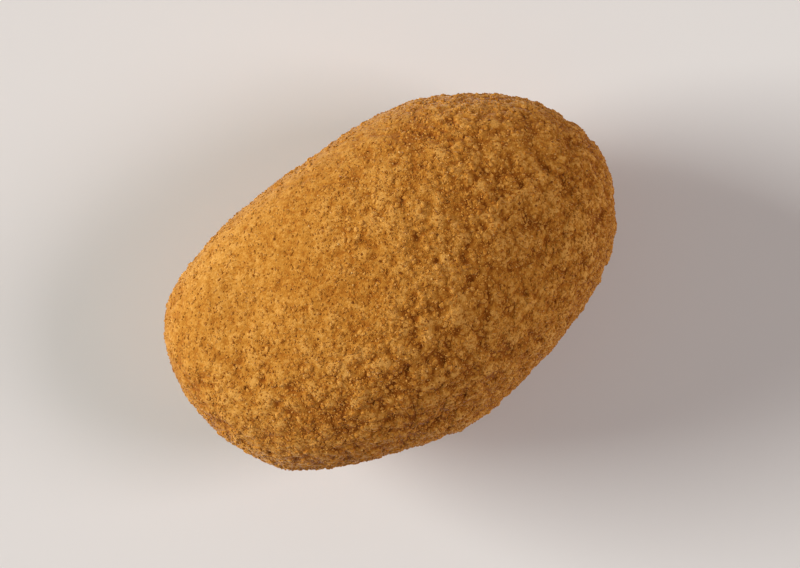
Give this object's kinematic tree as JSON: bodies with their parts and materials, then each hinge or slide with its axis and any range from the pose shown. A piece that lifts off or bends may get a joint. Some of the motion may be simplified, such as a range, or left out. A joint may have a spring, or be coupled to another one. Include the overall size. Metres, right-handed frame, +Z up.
{
  "type": "cinnamon almond",
  "caption": "Oval almond in a thick chocolate coat, rolled in ground cinnamon, lying on its flatter side.",
  "frame": {"origin": "on the resting plane, straight below the middle of the bounding box", "axes": "+X along the length towards the broader end, +Z up out of the flatter side that it lies on"},
  "size_m": [0.028, 0.0184, 0.0154],
  "materials": {
    "cinnamon": "matte"
  },
  "bodies": {
    "root": {"cinnamon_almond": "cinnamon"}
  },
  "joints": []
}
